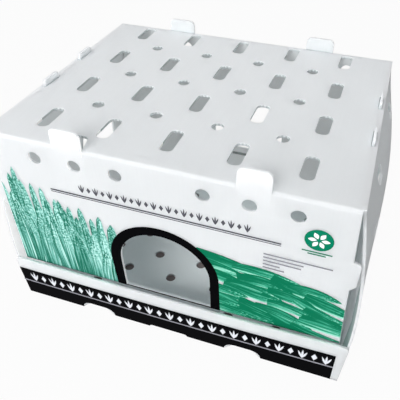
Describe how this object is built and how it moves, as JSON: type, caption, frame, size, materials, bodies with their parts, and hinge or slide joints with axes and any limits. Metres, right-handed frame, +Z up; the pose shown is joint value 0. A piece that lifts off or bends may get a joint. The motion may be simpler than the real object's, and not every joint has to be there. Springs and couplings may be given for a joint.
{
  "type": "corrugated plastic produce crate",
  "caption": "Ventilated produce crate folded from fluted plastic sheet: flared tray, tall bellied end walls, arched windows, stacking tabs and a hinged lid whose front flap tucks into the tray.",
  "frame": {"origin": "middle of the base, on the surface that the crate stands on", "axes": "+X along the front to the right, +Y from front to back, +Z up"},
  "size_m": [0.4412, 0.327, 0.291],
  "materials": {
    "body_sheet": "white fluted polypropylene sheet, satin, with a printed black band on the low front wall",
    "lid_sheet": "white fluted polypropylene sheet, satin, with green, black and grey print on the front flap"
  },
  "bodies": {
    "body": {"box_body": "body_sheet"},
    "lid": {"lid": "lid_sheet"}
  },
  "joints": [
    {"name": "lid_hinge", "type": "hinge", "parent": "body", "child": "lid", "pos_m": [0, 0.1605, 0.27], "axis": [-1, 0, 0], "range_deg": [0, 88]}
  ]
}
